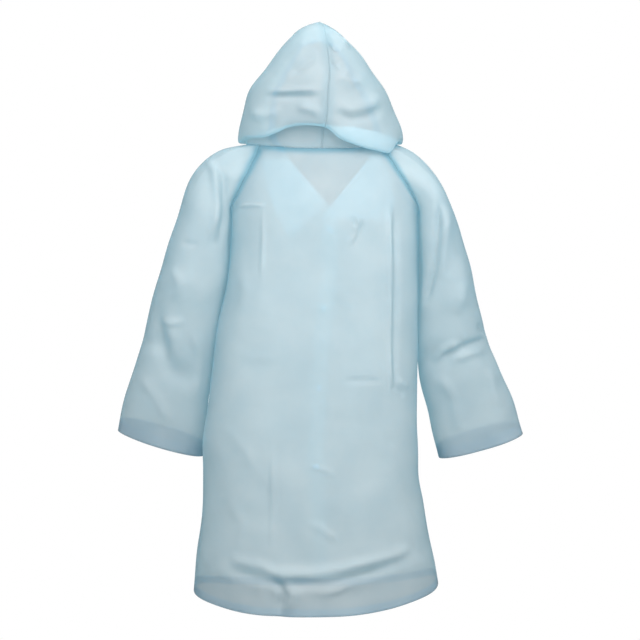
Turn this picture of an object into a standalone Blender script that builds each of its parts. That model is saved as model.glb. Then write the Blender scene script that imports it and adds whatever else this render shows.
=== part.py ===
"""Child's hooded raincoat of thin translucent film, filled out as it is worn.

Metres, +Z up. X runs to the wearer's right, Y to the wearer's front, so the back faces -Y. The origin
lies between the shoulders at the height of the neck seam, where the wearer carries the coat.
Every cloth piece is an open grid of points on the coat's outer surface, given a wall by Solidify.
"""
from bisect import bisect_right
from math import asin, copysign, cos, degrees, exp, hypot, pi, radians, sin

import bmesh
import bpy
from mathutils import Vector

COAT = "hooded_raincoat"

# Wall and seams. The real film is thinner; a solid wall stands for it.
WALL = 0.0011
SEAM = 0.0004
HALF_SEAM = SEAM / 2
LAYER_GAP = 0.0004

# Heights of the coat's main lines.
NECK_BACK_Z = -0.006
NECK_SIDE_Z = 0.008
NECK_FRONT_Z = 0.000
UNDERARM_Z = -0.105
HEM_BACK_Z = -0.767
HEM_FRONT_Z = -0.763
HEM_SIDES = {-1: dict(z=-0.739, curve=1.25), 1: dict(z=-0.724, curve=1.3)}

# Turned hems: the film folded in and welded.
HEM_WIDTH = 0.013
CUFF_HEM_WIDTH = 0.020
HOOD_HEM_WIDTH = 0.015
HOOD_HEM_STOP = 0.15
HOOD_HEM_GAP = 0.0012
HOOD_HALF_SEAM = 0.0006

# The front closes a little to the right of the body's middle, right over left, with press studs.
CLOSURE_X = 0.0095
LAP_HALF = 0.015
LAP_RISE = 0.0042
LAP_SLOPE = 0.030
BREAK_TOP_LEFT = (-0.060, 0.000)
BREAK_TOP_RIGHT = (0.093, 0.002)
STUD_HEIGHTS = (-0.130, -0.270, -0.410, -0.550)
STUD_RADIUS = 0.0060
STUD_THICK = 0.0020
STUD_SIDES = 16

# How many spaces each grid is divided into.
BACK_COLUMNS = 24
FRONT_COLUMNS = 12
SEAM_ROWS = 8
BODY_ROWS = 18
NECK_COLUMNS = 7
SHOULDER_ROWS = 6
SLEEVE_ROWS = 14
HOOD_COLUMNS = 13
HOOD_ROWS = 18
LAPEL_ROWS = 6
LAPEL_COLUMNS = 5


class Table:
    """Rows of named columns; a column is read between its rows along a smooth curve."""

    def __init__(self, columns, *rows):
        ordered = sorted(rows)
        self.keys = [row[0] for row in ordered]
        self.values = {name: [row[i] for row in ordered] for i, name in enumerate(columns.split())}

    def slope(self, values, i):
        low, high = max(i - 1, 0), min(i + 1, len(values) - 1)
        return (values[high] - values[low]) / (self.keys[high] - self.keys[low])

    def read(self, column, key):
        key = min(max(key, self.keys[0]), self.keys[-1])
        i = min(bisect_right(self.keys, key), len(self.keys) - 1) - 1
        values = self.values[column]
        span = self.keys[i + 1] - self.keys[i]
        t = (key - self.keys[i]) / span
        start, end = self.slope(values, i) * span, self.slope(values, i + 1) * span
        return ((2 * t**3 - 3 * t**2 + 1) * values[i] + (t**3 - 2 * t**2 + t) * start
                + (3 * t**2 - 2 * t**3) * values[i + 1] + (t**3 - t**2) * end)


# The body's sections. centre: the middle's shift in X; half: half the width; back and front: the
# depth behind and before the side seams; square: 2 is an ellipse, more is squarer.
BODY = Table(
    "z centre half back front square",
    (0.010, 0.003, 0.1270, 0.072, 0.078, 2.0),
    (-0.008, 0.003, 0.1360, 0.083, 0.087, 2.05),
    (-0.030, 0.005, 0.1500, 0.096, 0.096, 2.2),
    (-0.060, 0.007, 0.1600, 0.106, 0.102, 2.4),
    (-0.105, 0.0085, 0.1585, 0.112, 0.106, 2.55),
    (-0.213, 0.0055, 0.1615, 0.113, 0.109, 2.65),
    (-0.297, -0.004, 0.1690, 0.114, 0.111, 2.65),
    (-0.382, -0.0095, 0.1745, 0.117, 0.114, 2.65),
    (-0.479, -0.0155, 0.1785, 0.121, 0.117, 2.6),
    (-0.540, -0.017, 0.1800, 0.124, 0.119, 2.6),
    (-0.595, -0.013, 0.1860, 0.127, 0.122, 2.55),
    (-0.677, -0.010, 0.1970, 0.132, 0.126, 2.5),
    (-0.731, -0.0085, 0.2040, 0.135, 0.129, 2.5),
    (-0.790, -0.007, 0.2080, 0.137, 0.131, 2.5),
)

# The raglan seams: how far round from the middle they run at each height, 90 being the side.
RAGLAN = Table(
    "z degrees",
    (0.008, 52),
    (-0.025, 50),
    (-0.055, 53),
    (-0.085, 66),
    (-0.105, 90),
)

# The back and each front are one panel. Their solids are cut across below the armholes, at these
# rows, so that what stands for them in collision follows the shoulders closely.
BODY_PARTS = (
    ("upper", 0, SEAM_ROWS),
    ("lower", SEAM_ROWS, SEAM_ROWS + BODY_ROWS),
)

# The sleeves' sections from the upper arm (0) to the cuff (1). inner and outer are the ends of the
# section next to the body and away from it; middle, back and front place and size its depth; wrap is
# how far its inner corners close round the body's side; droop is how far the back hangs lower.
SLEEVE_COLUMNS = "along inner_x inner_z outer_x outer_z middle back front wrap droop"
SLEEVES = {
    "left": Table(
        SLEEVE_COLUMNS,
        (0.00, -0.1540, -0.124, -0.2400, -0.108, 0.000, 0.078, 0.078, 0.004, 0.000),
        (0.20, -0.1585, -0.206, -0.2640, -0.187, 0.008, 0.077, 0.076, 0.010, 0.000),
        (0.42, -0.1755, -0.298, -0.2895, -0.271, 0.016, 0.068, 0.068, 0.010, 0.000),
        (0.64, -0.1875, -0.382, -0.3125, -0.350, 0.026, 0.057, 0.060, 0.008, 0.001),
        (0.83, -0.1965, -0.457, -0.3340, -0.418, 0.034, 0.047, 0.051, 0.004, 0.003),
        (1.00, -0.2025, -0.522, -0.3500, -0.478, 0.040, 0.039, 0.043, 0.000, 0.006),
    ),
    "right": Table(
        SLEEVE_COLUMNS,
        (0.00, 0.1715, -0.124, 0.2260, -0.112, 0.000, 0.088, 0.086, 0.004, 0.000),
        (0.20, 0.1720, -0.206, 0.2525, -0.191, 0.008, 0.083, 0.080, 0.010, 0.000),
        (0.42, 0.1700, -0.298, 0.2740, -0.275, 0.016, 0.072, 0.071, 0.010, 0.000),
        (0.64, 0.1715, -0.382, 0.2990, -0.350, 0.026, 0.059, 0.061, 0.006, 0.001),
        (0.83, 0.1870, -0.457, 0.3270, -0.417, 0.034, 0.048, 0.052, 0.002, 0.003),
        (1.00, 0.2035, -0.526, 0.3500, -0.484, 0.040, 0.040, 0.044, 0.000, 0.006),
    ),
}
SLEEVE_POWER = 2 / 2.2
# A sleeve is one panel too, and its solid is cut across at the upper arm and the elbow.
SLEEVE_PARTS = (
    ("shoulder", 0, SHOULDER_ROWS),
    ("arm", SHOULDER_ROWS, SHOULDER_ROWS + SLEEVE_ROWS // 2),
    ("forearm", SHOULDER_ROWS + SLEEVE_ROWS // 2, SHOULDER_ROWS + SLEEVE_ROWS),
)
SIGN = {"left": -1, "right": 1}
SHOULDER_FALL = {"left": 0.04, "right": 0.36}
SHOULDER_SWELL = {"left": 1.22, "right": 1.08}

# The largest folds of each sleeve: place along it, degrees round it (90 is the back), half widths
# along and round, and height.
SLEEVE_FOLDS = {
    "left": (
        dict(along=0.56, round=118, wide_along=0.045, wide_round=38, high=-0.0065),
        dict(along=0.66, round=80, wide_along=0.050, wide_round=34, high=-0.0050),
        dict(along=0.30, round=110, wide_along=0.060, wide_round=40, high=0.0040),
        dict(along=0.55, round=260, wide_along=0.050, wide_round=40, high=-0.0060),
    ),
    "right": (
        dict(along=0.57, round=75, wide_along=0.045, wide_round=36, high=-0.0060),
        dict(along=0.60, round=130, wide_along=0.040, wide_round=34, high=-0.0045),
        dict(along=0.34, round=105, wide_along=0.060, wide_round=40, high=0.0040),
        dict(along=0.58, round=250, wide_along=0.050, wide_round=40, high=-0.0060),
    ),
}

# The hood's sections from the neck seam (0) to the top seam (1). At the back it rises from the seam,
# turns out in a roll that hangs over the neck, and closes over the crown.
HOOD = Table(
    "along back_y back_z half side_z front_y front_z centre square",
    (0.00, -0.082, -0.006, 0.1280, 0.008, 0.083, 0.000, 0.003, 2.0),
    (0.07, -0.083, 0.014, 0.1310, 0.013, 0.088, 0.014, 0.002, 2.0),
    (0.13, -0.087, 0.032, 0.1370, 0.010, 0.092, 0.026, 0.001, 2.1),
    (0.18, -0.101, 0.038, 0.1400, 0.012, 0.096, 0.034, 0.000, 2.1),
    (0.23, -0.116, 0.042, 0.1410, 0.020, 0.100, 0.042, 0.000, 2.1),
    (0.30, -0.124, 0.056, 0.1385, 0.038, 0.105, 0.058, 0.000, 2.1),
    (0.42, -0.128, 0.088, 0.1280, 0.068, 0.112, 0.088, -0.001, 2.1),
    (0.54, -0.126, 0.118, 0.1150, 0.099, 0.117, 0.116, -0.003, 2.1),
    (0.66, -0.116, 0.148, 0.0940, 0.128, 0.121, 0.143, -0.003, 2.0),
    (0.78, -0.098, 0.175, 0.0740, 0.156, 0.123, 0.166, -0.003, 2.0),
    (0.88, -0.078, 0.194, 0.0530, 0.180, 0.124, 0.184, -0.004, 2.0),
    (0.95, -0.060, 0.204, 0.0360, 0.196, 0.125, 0.194, -0.005, 2.0),
    (1.00, -0.046, 0.209, 0.0000, 0.207, 0.125, 0.199, 0.000, 2.0),
)
# Where the centre seam of the hood lies, and how far round the face edges come, in degrees.
HOOD_EDGES = Table(
    "along seam_x left_face right_face",
    (0.00, 0.003, 151, 134),
    (0.23, 0.008, 148, 138),
    (0.54, 0.014, 143, 141),
    (0.80, 0.010, 141, 141),
    (1.00, 0.000, 140, 140),
)

# The turned-back fronts: the free edge of each, from its lower corner up to the neck seam (x, z).
LAPELS = {
    "left": ((-0.053, -0.146), (-0.076, -0.108), (-0.093, -0.060), (-0.103, -0.010)),
    "right": ((0.124, -0.116), (0.132, -0.082), (0.121, -0.040), (0.110, -0.008)),
}
LAPEL_START_Z = {"left": -0.081, "right": UNDERARM_Z}
LAPEL_LIFT = 0.0060
LAPEL_SEAT = 0.0016

# The largest folds of the body. They swell towards the hem; x and z place the fold's ends.
HEM_WAVES = ((5, 0.4, 0.0042), (3, 1.9, 0.0034))
HEM_WAVE_TOP = -0.34
BACK_FOLDS = (
    dict(x0=-0.155, z0=-0.700, x1=-0.085, z1=-0.717, wide=0.016, high=0.0035),
    dict(x0=-0.085, z0=-0.717, x1=0.060, z1=-0.708, wide=0.016, high=0.0045),
    dict(x0=0.060, z0=-0.708, x1=0.155, z1=-0.690, wide=0.015, high=0.0035),
    dict(x0=-0.080, z0=-0.722, x1=-0.066, z1=-0.768, wide=0.012, high=-0.0050),
)


def signed_power(value, power):
    return copysign(abs(value) ** power, value)


def blend(start, end, t):
    return start + (end - start) * t


def smooth(t):
    t = min(max(t, 0.0), 1.0)
    return t * t * (3 - 2 * t)


def fold_height(folds, x, z):
    """Height of the soft folds at a place: each is a rounded ridge along a straight line."""
    height = 0.0
    for fold in folds:
        run_x, run_z = fold["x1"] - fold["x0"], fold["z1"] - fold["z0"]
        along = ((x - fold["x0"]) * run_x + (z - fold["z0"]) * run_z) / (run_x**2 + run_z**2)
        near = min(max(along, 0.0), 1.0)
        away = hypot(x - fold["x0"] - near * run_x, z - fold["z0"] - near * run_z)
        height += fold["high"] * exp(-((away / fold["wide"]) ** 2))
    return height


# ---------------------------------------------------------------- the body's surface

def body_point(face, turn, z):
    """Point on the outside. face is -1 behind, 1 before; turn is 0 at its middle, pi/2 at the right."""
    power = 2 / BODY.read("square", z)
    half = BODY.read("half", z)
    depth = BODY.read("front" if face > 0 else "back", z)
    x = BODY.read("centre", z) + half * signed_power(sin(turn), power)
    y = face * depth * signed_power(cos(turn), power)
    swell = smooth((HEM_WAVE_TOP - z) / (HEM_WAVE_TOP - HEM_BACK_Z))
    around = turn if face < 0 else pi - turn
    wave = sum(high * cos(count * around + phase) for count, phase, high in HEM_WAVES) * swell
    if face < 0:
        wave += fold_height(BACK_FOLDS, x, z)
    grow = 1 + wave / half
    return Vector((x * grow, y * grow, z))


def turn_at(x, z):
    """How far round from the middle a face has the given x."""
    reach = (x - BODY.read("centre", z)) / BODY.read("half", z)
    return asin(signed_power(max(min(reach, 1.0), -1.0), BODY.read("square", z) / 2))


def neck_z(face, turn):
    middle = NECK_FRONT_Z if face > 0 else NECK_BACK_Z
    return blend(middle, NECK_SIDE_Z, sin(turn) ** 2)


def hem_z(face, turn):
    middle = HEM_FRONT_Z if face > 0 else HEM_BACK_Z
    side = HEM_SIDES[copysign(1, turn)]
    return blend(side["z"], middle, abs(cos(turn)) ** side["curve"])


def row_z(row, face, turn):
    """Height of a row: SEAM_ROWS of them from neck to underarm, BODY_ROWS from there to the hem."""
    if row <= SEAM_ROWS:
        fall = 1 - (1 - row / SEAM_ROWS) ** 1.7
        return blend(neck_z(face, turn), UNDERARM_Z, fall)
    return blend(UNDERARM_Z, hem_z(face, turn), (row - SEAM_ROWS) / BODY_ROWS)


def side_turn(row, face):
    """How far round a face reaches on a row: to the raglan seam, and below that to the side seam."""
    turn = pi / 2
    if row < SEAM_ROWS:
        for _ in range(6):
            turn = radians(RAGLAN.read("degrees", row_z(row, face, turn)))
    return turn


def front_edge_x(side, z):
    """x of a front's own edge: the straight lap edge, and above it the line it is turned back on."""
    lap = BODY.read("centre", z) + CLOSURE_X - SIGN[side] * LAP_HALF
    if z <= UNDERARM_Z:
        return lap
    top_x, top_z = BREAK_TOP_LEFT if side == "left" else BREAK_TOP_RIGHT
    start = BODY.read("centre", UNDERARM_Z) + CLOSURE_X - SIGN[side] * LAP_HALF
    return blend(start, top_x, min((z - UNDERARM_Z) / (top_z - UNDERARM_Z), 1.0))


def lap_rise(side, x, z):
    """The right front lies over the left one, so it stands out where they overlap."""
    if side == "left":
        return 0.0
    start = BODY.read("centre", z) + CLOSURE_X + LAP_HALF + LAP_SLOPE
    return LAP_RISE * smooth((start - x) / LAP_SLOPE)


def back_rows():
    rows = []
    for row in range(SEAM_ROWS + BODY_ROWS + 1):
        reach = side_turn(row, -1)
        turns = [blend(-reach, reach, i / BACK_COLUMNS) for i in range(BACK_COLUMNS + 1)]
        rows.append([body_point(-1, turn, row_z(row, -1, turn)) for turn in turns])
    return rows


def front_rows(side):
    """One front, from its side seam and raglan seam to its own edge."""
    rows = []
    for row in range(SEAM_ROWS + BODY_ROWS + 1):
        reach = SIGN[side] * side_turn(row, 1)
        points = []
        for i in range(FRONT_COLUMNS + 1):
            edge = 0.0
            for _ in range(4):
                edge = turn_at(front_edge_x(side, row_z(row, 1, edge)), row_z(row, 1, edge))
            turn = blend(reach, edge, i / FRONT_COLUMNS)
            point = body_point(1, turn, row_z(row, 1, turn))
            point.y += lap_rise(side, point.x, point.z)
            points.append(point)
        rows.append(points)
    return rows


# ---------------------------------------------------------------- sleeves

def raglan_loop(side):
    """The sleeve's upper edge: underarm, back seam, neck seam over the shoulder, front seam."""
    sign = SIGN[side]
    loop = []
    for row in range(SEAM_ROWS, 0, -1):
        turn = sign * side_turn(row, -1)
        loop.append((body_point(-1, turn, row_z(row, -1, turn)), row / SEAM_ROWS))
    start, end = side_turn(0, -1), pi - side_turn(0, 1)
    for i in range(NECK_COLUMNS + 1):
        around = blend(start, end, i / NECK_COLUMNS)
        face, turn = (-1, around) if around <= pi / 2 else (1, pi - around)
        loop.append((body_point(face, sign * turn, neck_z(face, turn)), 0.0))
    for row in range(1, SEAM_ROWS):
        turn = sign * side_turn(row, 1)
        loop.append((body_point(1, turn, row_z(row, 1, turn)), row / SEAM_ROWS))
    return loop


def sleeve_ring(side, along, count):
    """A closed section of a sleeve, from the underarm side round by the back."""
    table = SLEEVES[side]
    inner = Vector((table.read("inner_x", along), 0, table.read("inner_z", along)))
    outer = Vector((table.read("outer_x", along), 0, table.read("outer_z", along)))
    middle, reach = (inner + outer) / 2, (inner - outer) / 2
    ring = []
    for i in range(count):
        turn = 2 * pi * i / count
        swell = sum(fold["high"] * exp(-((along - fold["along"]) / fold["wide_along"]) ** 2
                    - ((degrees(turn) - fold["round"]) / fold["wide_round"]) ** 2)
                    for fold in SLEEVE_FOLDS[side])
        depth = table.read("back" if sin(turn) >= 0 else "front", along) + swell
        point = middle + reach * (1 + swell / reach.length) * signed_power(cos(turn), SLEEVE_POWER)
        if cos(turn) > 0:
            point += reach.normalized() * table.read("wrap", along) * sin(2 * turn) ** 2
        point.y = table.read("middle", along) - depth * signed_power(sin(turn), SLEEVE_POWER)
        point.z -= table.read("droop", along) * sin(turn)
        ring.append(point)
    return ring


def sleeve_rows(side):
    """From the raglan seam over the shoulder to the upper arm, then down to the cuff."""
    loop = raglan_loop(side)
    count = len(loop)
    first = sleeve_ring(side, 0, count)
    second = sleeve_ring(side, 0.04, count)
    rows = []
    for step in range(SHOULDER_ROWS):
        t = step / SHOULDER_ROWS
        ring = []
        for (seam, down), arm, below in zip(loop, first, second):
            reach = (arm - seam).length * SHOULDER_SWELL[side]
            level = 1 - down**2
            fall = 1 - level + SHOULDER_FALL[side] * level
            leave = Vector((SIGN[side] * level, 0, -fall)).normalized() * reach
            arrive = (below - arm).normalized() * reach
            ring.append((2 * t**3 - 3 * t**2 + 1) * seam + (t**3 - 2 * t**2 + t) * leave
                        + (3 * t**2 - 2 * t**3) * arm + (t**3 - t**2) * arrive)
        rows.append(ring)
    for step in range(SLEEVE_ROWS + 1):
        rows.append(sleeve_ring(side, step / SLEEVE_ROWS, count))
    return rows


# ---------------------------------------------------------------- hood

def hood_point(along, turn):
    """Point of the hood. turn is 0 at the middle of the back, pi/2 at the right, pi at the front."""
    if along <= 0:
        face = -1 if abs(turn) <= pi / 2 else 1
        own = turn if face < 0 else copysign(pi - abs(turn), turn)
        return body_point(face, own, neck_z(face, own))
    power = 2 / HOOD.read("square", along)
    before = abs(turn) > pi / 2
    end_y = HOOD.read("front_y" if before else "back_y", along)
    end_z = HOOD.read("front_z" if before else "back_z", along)
    x = HOOD.read("centre", along) + HOOD.read("half", along) * signed_power(sin(turn), power)
    y = end_y * abs(cos(turn)) ** power
    z = blend(end_z, HOOD.read("side_z", along), sin(turn) ** 2)
    return Vector((x, y, z))


def hood_rows(side):
    """One half of the hood: from the centre seam round to the face edge, neck seam first."""
    rows = []
    for row in range(HOOD_ROWS + 1):
        along = row / HOOD_ROWS
        half = max(HOOD.read("half", along), 0.004)
        offset = HOOD_EDGES.read("seam_x", along) - HOOD.read("centre", along)
        seam = asin(max(min(offset / half, 0.9), -0.9))
        face = SIGN[side] * radians(HOOD_EDGES.read(side + "_face", along))
        rows.append([hood_point(along, blend(seam, face, i / HOOD_COLUMNS))
                     for i in range(HOOD_COLUMNS + 1)])
    return rows


# ---------------------------------------------------------------- turned-back fronts

def outline_point(points, t):
    """Place on an open outline of (x, z) points, t from 0 to 1."""
    place = t * (len(points) - 1)
    i = min(int(place), len(points) - 2)
    part = place - i
    return blend(points[i][0], points[i + 1][0], part), blend(points[i][1], points[i + 1][1], part)


def lapel_rows(side):
    """The upper front edge, turned out along the break line and lying on the front."""
    top_x, top_z = BREAK_TOP_LEFT if side == "left" else BREAK_TOP_RIGHT
    rows = []
    for row in range(LAPEL_ROWS + 1):
        t = row / LAPEL_ROWS
        break_z = blend(LAPEL_START_Z[side], top_z - 0.004, t)
        break_x = front_edge_x(side, break_z)
        free_x, free_z = outline_point(LAPELS[side], t)
        points = []
        for i in range(LAPEL_COLUMNS + 1):
            w = i / LAPEL_COLUMNS
            x, z = blend(break_x, free_x, w), blend(break_z, free_z, w)
            point = body_point(1, turn_at(x, z), z)
            point.y += LAPEL_SEAT + WALL + LAPEL_LIFT * sin(pi * w) ** 0.8 + lap_rise(side, x, z)
            points.append(point)
        rows.append(points)
    return rows


# ---------------------------------------------------------------- solids

def film(name, colour, roughness):
    material = bpy.data.materials.new(name)
    material.use_nodes = True
    shader = material.node_tree.nodes["Principled BSDF"]
    shader.inputs["Base Color"].default_value = (*colour, 1)
    shader.inputs["Roughness"].default_value = roughness
    return material


def trimmed(rows, first=0.0, last=0.0, top=0.0, bottom=0.0):
    """Pulls the edges of a grid back by the given lengths, along the surface."""
    rows = [list(row) for row in rows]
    rows[0] = [a + (b - a).normalized() * top for a, b in zip(rows[0], rows[1])]
    rows[-1] = [a + (b - a).normalized() * bottom for a, b in zip(rows[-1], rows[-2])]
    for row in rows:
        row[0] = row[0] + (row[1] - row[0]).normalized() * first
        row[-1] = row[-1] + (row[-2] - row[-1]).normalized() * last
    return rows


def moved(rows, inside, distance, closed=False):
    """The grid moved along its outward normals; outward is away from the point inside."""
    count = len(rows[0])
    normals, outward = [], 0.0
    for j, row in enumerate(rows):
        above, below = rows[max(j - 1, 0)], rows[min(j + 1, len(rows) - 1)]
        for i, point in enumerate(row):
            before = row[(i - 1) % count] if closed else row[max(i - 1, 0)]
            after = row[(i + 1) % count] if closed else row[min(i + 1, count - 1)]
            normal = (after - before).cross(below[i] - above[i]).normalized()
            normals.append(normal)
            outward += normal.dot(point - inside)
    step = distance * copysign(1, outward)
    return [[point + normals[j * count + i] * step for i, point in enumerate(row)]
            for j, row in enumerate(rows)]


def sheet(name, rows, inside, material, closed=False, wall=WALL):
    """A cloth piece: a grid laid on the rows of points, with a wall on its inner side."""
    if closed:
        rows = [row + row[:1] for row in rows]
    mesh = bmesh.new()
    bmesh.ops.create_grid(mesh, x_segments=len(rows[0]) - 1, y_segments=len(rows) - 1, size=1)
    points = [point for row in rows for point in row]
    for vertex, point in zip(mesh.verts, points):
        vertex.co = point
    if closed:
        bmesh.ops.remove_doubles(mesh, verts=mesh.verts, dist=1e-6)
    mesh.normal_update()
    outward = sum(face.normal.dot(face.calc_center_median() - inside) for face in mesh.faces)
    if outward < 0:
        bmesh.ops.reverse_faces(mesh, faces=mesh.faces)
    return solid(name, mesh, material, wall)


def solid(name, mesh, material, wall=None):
    data = bpy.data.meshes.new(name)
    mesh.to_mesh(data)
    mesh.free()
    data.materials.append(material)
    data.shade_smooth()
    piece = bpy.data.objects.new(name, data)
    bpy.data.collections[COAT].objects.link(piece)
    if wall:
        shell = piece.modifiers.new("wall", "SOLIDIFY")
        shell.thickness = wall
        shell.offset = -1
    return piece


def stud_half(name, place, outward, material):
    """One half of a press stud: a low round button, seated with its wide face to the film."""
    mesh = bmesh.new()
    bmesh.ops.create_cone(mesh, cap_ends=True, segments=STUD_SIDES, radius1=STUD_RADIUS,
                          radius2=STUD_RADIUS * 0.72, depth=STUD_THICK)
    for vertex in mesh.verts:
        vertex.co.z += STUD_THICK / 2
    piece = solid(name, mesh, material)
    piece.location = place
    piece.rotation_euler = outward.to_track_quat("Z", "Y").to_euler()
    return piece


def build_body(material):
    middle = Vector((0, 0, -0.40))
    for part, first, last in BODY_PARTS:
        below = HALF_SEAM * (last < SEAM_ROWS + BODY_ROWS)
        back = trimmed(back_rows()[first:last + 1], HALF_SEAM, HALF_SEAM, HALF_SEAM, below)
        sheet("back_" + part, back, middle, material)
        for side in ("left", "right"):
            front = trimmed(front_rows(side)[first:last + 1], HALF_SEAM, 0, HALF_SEAM, below)
            sheet("_".join(("front", side, part)), front, middle, material)
    for side in ("left", "right"):
        sheet("front_" + side + "_lapel", lapel_rows(side), Vector((0, -1, 0)), material)


def strip(rows, width):
    """The last width of a grid, measured along each column from its last row."""
    last, before = rows[-1], rows[-2]
    upper = [a + (b - a).normalized() * width for a, b in zip(last, before)]
    return [upper, last]


def build_hems(material):
    middle = Vector((0, 0, -0.75))
    inward = -(WALL + LAYER_GAP)
    back = strip(trimmed(back_rows(), HALF_SEAM, HALF_SEAM), HEM_WIDTH)
    sheet("back_hem", moved(back, middle, inward), middle, material)
    for side in ("left", "right"):
        front = strip(trimmed(front_rows(side), HALF_SEAM), HEM_WIDTH)
        sheet("front_" + side + "_hem", moved(front, middle, inward), middle, material)


def build_sleeves(material):
    for side in ("left", "right"):
        rows = sleeve_rows(side)
        for part, first, last in SLEEVE_PARTS:
            tube = trimmed(rows[first:last + 1], top=HALF_SEAM, bottom=HALF_SEAM * (last < len(rows) - 1))
            ring = tube[len(tube) // 2]
            middle = (ring[0] + ring[len(ring) // 2]) / 2
            sheet("_".join(("sleeve", side, part)), tube, middle, material, closed=True)
        cuff = strip(rows, CUFF_HEM_WIDTH)
        wrist = (cuff[0][0] + cuff[0][len(rows[0]) // 2]) / 2
        inner = moved(cuff, wrist, -(WALL + LAYER_GAP), closed=True)
        sheet("cuff_hem_" + side, inner, wrist, material, closed=True)


def build_hood(material):
    head = Vector((0, 0, 0.08))
    for side in ("left", "right"):
        rows = trimmed(hood_rows(side), HOOD_HALF_SEAM, top=HALF_SEAM, bottom=HOOD_HALF_SEAM)
        sheet("hood_" + side, rows, head, material)
        rows[-1] = [blend(last, before, HOOD_HEM_STOP) for last, before in zip(rows[-1], rows[-2])]
        edge = [[row[-1], row[-1] + (row[-2] - row[-1]).normalized() * HOOD_HEM_WIDTH] for row in rows]
        sheet("hood_hem_" + side, moved(edge, head, -(WALL + HOOD_HEM_GAP)), head, material)


def build_studs(material):
    for number, z in enumerate(STUD_HEIGHTS, start=1):
        x = BODY.read("centre", z) + CLOSURE_X
        turn = turn_at(x, z)
        place = body_point(1, turn, z)
        across = body_point(1, turn + 0.02, z) - body_point(1, turn - 0.02, z)
        up = body_point(1, turn, z + 0.01) - body_point(1, turn, z - 0.01)
        outward = up.cross(across).normalized()
        outward *= copysign(1, outward.y)
        stud_half("stud_cap_%d" % number, place + outward * (LAP_RISE + LAYER_GAP), outward, material)
        stud_half("stud_post_%d" % number, place - outward * (WALL + 2 * LAYER_GAP), -outward, material)


for item in list(bpy.data.objects):
    bpy.data.objects.remove(item, do_unlink=True)
collection = bpy.data.collections.new(COAT)
bpy.context.scene.collection.children.link(collection)

blue_film = film("blue_film", (0.48, 0.68, 0.78), 0.45)
clear_plastic = film("stud_plastic", (0.62, 0.76, 0.83), 0.35)
build_body(blue_film)
build_hems(blue_film)
build_sleeves(blue_film)
build_hood(blue_film)
build_studs(clear_plastic)
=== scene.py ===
from bisect import bisect_right
from math import asin, copysign, cos, degrees, exp, hypot, pi, radians, sin

import bmesh
import bpy
import numpy as np
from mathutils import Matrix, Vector


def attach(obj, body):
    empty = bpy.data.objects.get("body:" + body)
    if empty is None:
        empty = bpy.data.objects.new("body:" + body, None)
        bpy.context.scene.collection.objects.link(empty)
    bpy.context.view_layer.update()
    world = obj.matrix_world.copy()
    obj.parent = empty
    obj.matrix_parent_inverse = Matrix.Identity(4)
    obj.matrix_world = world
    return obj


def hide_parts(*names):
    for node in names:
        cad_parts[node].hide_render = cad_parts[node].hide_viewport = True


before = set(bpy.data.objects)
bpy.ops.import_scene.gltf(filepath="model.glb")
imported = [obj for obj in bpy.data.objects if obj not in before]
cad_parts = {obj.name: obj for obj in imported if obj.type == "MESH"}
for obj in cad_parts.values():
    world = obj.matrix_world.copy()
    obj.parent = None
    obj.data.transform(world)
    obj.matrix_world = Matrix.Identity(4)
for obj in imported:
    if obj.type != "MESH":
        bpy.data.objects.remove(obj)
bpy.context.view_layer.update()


# ---------------------------------------------------------------- back panel
# One panel of frosted blue EVA film, 0.1 mm thick, as wide as the coat. It is welded to the fronts
# at the sides and to the sleeves along the raglan seams. It was packed folded, so straight creases
# cross it, and it bulges over the hem, where the film is stiffer.

class Table:
    """Rows of named columns; a column is read between its rows along a smooth curve."""

    def __init__(self, columns, *rows):
        ordered = sorted(rows)
        self.keys = [row[0] for row in ordered]
        self.values = {name: [row[i] for row in ordered] for i, name in enumerate(columns.split())}

    def slope(self, values, i):
        low, high = max(i - 1, 0), min(i + 1, len(values) - 1)
        return (values[high] - values[low]) / (self.keys[high] - self.keys[low])

    def read(self, column, key):
        key = min(max(key, self.keys[0]), self.keys[-1])
        i = min(bisect_right(self.keys, key), len(self.keys) - 1) - 1
        values = self.values[column]
        span = self.keys[i + 1] - self.keys[i]
        t = (key - self.keys[i]) / span
        start, end = self.slope(values, i) * span, self.slope(values, i + 1) * span
        return ((2 * t**3 - 3 * t**2 + 1) * values[i] + (t**3 - 2 * t**2 + t) * start
                + (3 * t**2 - 2 * t**3) * values[i + 1] + (t**3 - t**2) * end)


# The body's sections, in metres. centre: the middle's shift in X; half: half the width; back and
# front: the depth behind and before the side seams; square: 2 is an ellipse, more is squarer.
BODY = Table(
    "z centre half back front square",
    (0.010, 0.003, 0.1270, 0.072, 0.078, 2.0),
    (-0.008, 0.003, 0.1360, 0.083, 0.087, 2.05),
    (-0.030, 0.005, 0.1500, 0.096, 0.096, 2.2),
    (-0.060, 0.007, 0.1600, 0.106, 0.102, 2.4),
    (-0.105, 0.0085, 0.1585, 0.112, 0.106, 2.55),
    (-0.213, 0.0055, 0.1615, 0.113, 0.109, 2.65),
    (-0.297, -0.004, 0.1690, 0.114, 0.111, 2.65),
    (-0.382, -0.0095, 0.1745, 0.117, 0.114, 2.65),
    (-0.479, -0.0155, 0.1785, 0.121, 0.117, 2.6),
    (-0.540, -0.017, 0.1800, 0.124, 0.119, 2.6),
    (-0.595, -0.013, 0.1860, 0.127, 0.122, 2.55),
    (-0.677, -0.010, 0.1970, 0.132, 0.126, 2.5),
    (-0.731, -0.0085, 0.2040, 0.135, 0.129, 2.5),
    (-0.790, -0.007, 0.2080, 0.137, 0.131, 2.5),
)

# The raglan seams: how far round from the middle they run at each height, 90 being the side.
RAGLAN = Table(
    "z degrees",
    (0.008, 52),
    (-0.025, 50),
    (-0.055, 53),
    (-0.085, 66),
    (-0.105, 90),
)

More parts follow.
